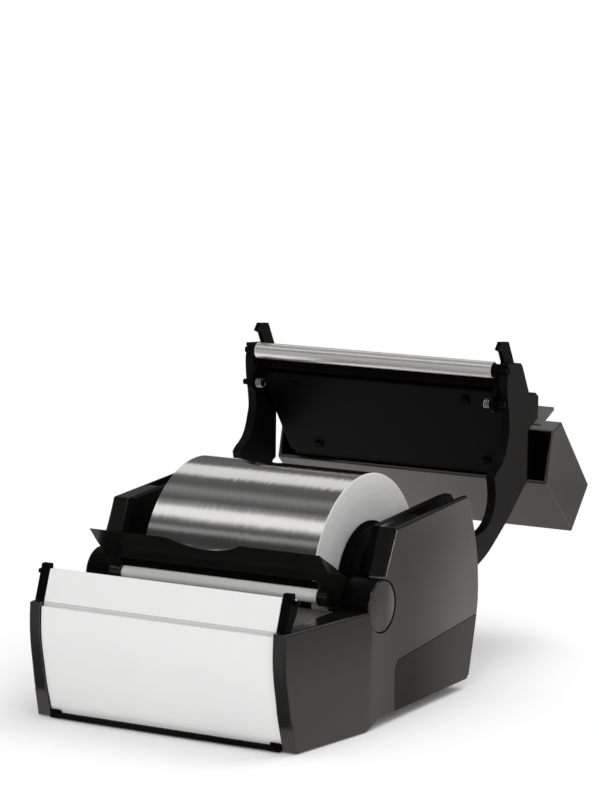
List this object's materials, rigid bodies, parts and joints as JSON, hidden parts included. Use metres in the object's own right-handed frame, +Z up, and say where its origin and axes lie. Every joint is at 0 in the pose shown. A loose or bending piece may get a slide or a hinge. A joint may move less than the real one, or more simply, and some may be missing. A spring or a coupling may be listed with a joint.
{
  "type": "foil roll dispenser",
  "caption": "Counter-top dispenser for rolls of foil, with a hinged cutting head that swings open over the roll's bay, a sprung latch on each arm and a hinged foil guide.",
  "frame": {"origin": "on the counter, under the middle of the box that the part fills with its head swung open", "axes": "+X to the right as seen from the front, +Y from the front panel to the back, +Z up"},
  "size_m": [0.167, 0.3082, 0.1729],
  "materials": {
    "casing": "gloss dark grey moulded plastic",
    "black": "fine black moulded plastic",
    "panel": "satin white plastic",
    "steel": "satin bright",
    "foil": "mirror-bright wound foil",
    "core": "plain grey",
    "rubber": "matt"
  },
  "bodies": {
    "base": {"side_casing_right": "casing", "side_casing_left": "casing", "tower_wall_right": "black", "tower_wall_left": "black", "head_hinge_pin_right": "steel", "head_hinge_pin_left": "steel", "rear_wall": "casing", "rear_skirt": "casing", "base_pan": "black", "foot_front_right": "rubber", "foot_front_left": "rubber", "foot_rear_right": "rubber", "foot_rear_left": "rubber", "front_panel": "panel", "front_lip": "panel", "lip_end_right": "black", "lip_end_left": "black", "deck": "black", "roll_cradle_right": "black", "roll_cradle_left": "black"},
    "guide": {"foil_guide": "black", "guide_hub_right": "casing", "guide_hub_left": "casing"},
    "guide_rod": {"guide_rod": "steel"},
    "head": {"head_arm_right": "casing", "head_arm_left": "casing", "head_frame": "black", "head_inner_cover": "black", "cover_screw_lower_right": "steel", "cover_screw_lower_left": "steel", "cover_screw_upper_right": "steel", "cover_screw_upper_left": "steel", "head_hood": "casing", "front_fin": "casing", "cutter_blade": "steel", "blade_clamp": "black", "latch_pin_right": "steel", "latch_pin_left": "steel", "latch_spring_right": "steel", "latch_spring_left": "steel"},
    "head_roller": {"head_roller": "steel"},
    "latch_right": {"latch_hook_right": "black"},
    "latch_left": {"latch_hook_left": "black"},
    "roll_hubs": {"roll_hub_right": "black", "roll_hub_left": "black"},
    "foil_roll": {"foil_winding": "foil", "roll_core": "core"}
  },
  "joints": [
    {"name": "head_hinge", "type": "hinge", "parent": "base", "child": "head", "pos_m": [0, -0.01882, 0.0735], "axis": [1, 0, 0], "range_deg": [0, 132]},
    {"name": "head_roller_spin", "type": "hinge", "parent": "head", "child": "head_roller", "pos_m": [0, 0.06234, 0.15827], "axis": [1, 0, 0], "continuous": true},
    {"name": "latch_right_swing", "type": "hinge", "parent": "head", "child": "latch_right", "pos_m": [0.07345, 0.06014, 0.14087], "axis": [1, 0, 0], "range_deg": [-12, 5], "stiffness_Nm_per_rad": 0.02},
    {"name": "latch_left_swing", "type": "hinge", "parent": "head", "child": "latch_left", "pos_m": [-0.07345, 0.06014, 0.14087], "axis": [1, 0, 0], "range_deg": [-12, 5], "stiffness_Nm_per_rad": 0.02},
    {"name": "guide_hinge", "type": "hinge", "parent": "base", "child": "guide", "pos_m": [0, -0.07682, 0.0603], "axis": [1, 0, 0], "range_deg": [-8, 0]},
    {"name": "guide_rod_spin", "type": "hinge", "parent": "guide", "child": "guide_rod", "pos_m": [0, -0.09282, 0.0653], "axis": [1, 0, 0], "continuous": true},
    {"name": "roll_lift", "type": "slide", "parent": "base", "child": "roll_hubs", "axis": [0, 0, -1], "range_m": [-0.08, 0]},
    {"name": "roll_spin", "type": "hinge", "parent": "roll_hubs", "child": "foil_roll", "pos_m": [0, -0.03432, 0.0625], "axis": [1, 0, 0], "continuous": true}
  ]
}
